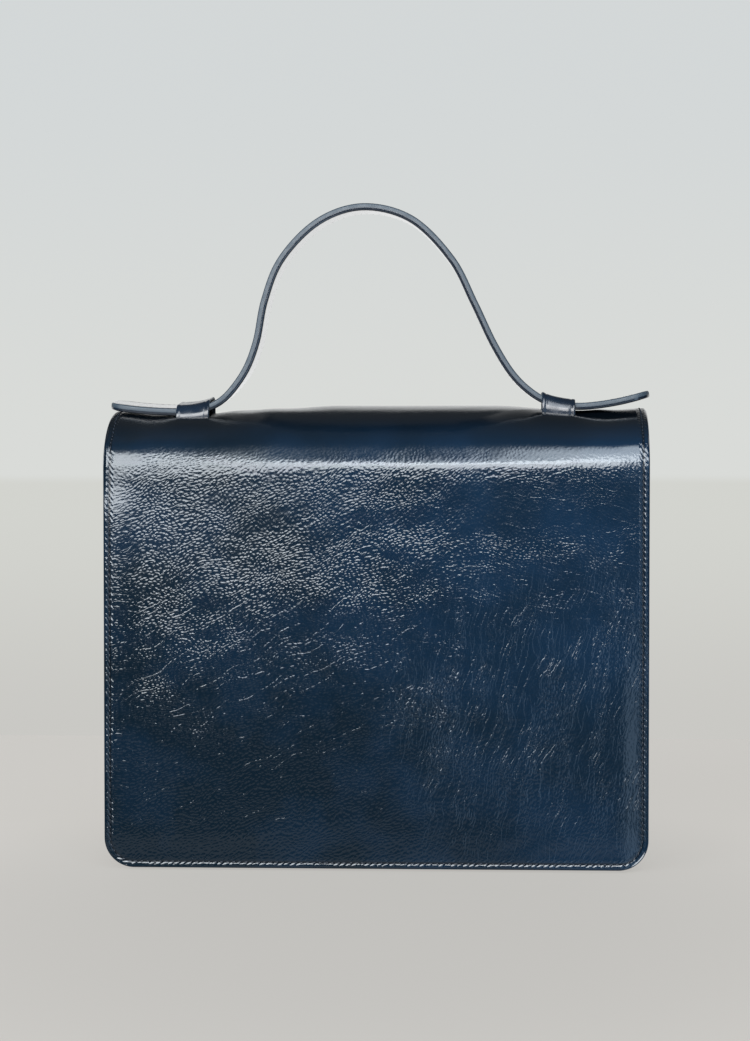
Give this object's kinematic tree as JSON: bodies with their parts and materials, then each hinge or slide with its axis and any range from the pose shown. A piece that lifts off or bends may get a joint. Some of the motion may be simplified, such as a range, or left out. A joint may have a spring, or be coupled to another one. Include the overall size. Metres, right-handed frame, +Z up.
{
  "type": "mini briefcase handbag",
  "caption": "Small stiff leather briefcase handbag with a full front flap and a strap handle held by loops on its top, hollow inside.",
  "frame": {"origin": "on the floor, under the middle of the bag", "axes": "+Z up, front flap faces -Y, +X to the right of someone who looks at the flap"},
  "size_m": [0.192, 0.07, 0.234],
  "materials": {
    "flap_leather": "glossy crinkled calf, navy",
    "case_leather": "glossy fine-grained calf, navy",
    "strap_leather": "glossy smooth calf with painted edges, navy",
    "clasp_metal": "brushed"
  },
  "bodies": {
    "root": {"back_panel": "case_leather", "gusset": "case_leather", "front_panel": "case_leather", "flap": "flap_leather", "magnet_clasp": "clasp_metal", "handle_loop_left": "strap_leather", "handle_loop_right": "strap_leather", "handle_strap": "strap_leather"}
  },
  "joints": []
}
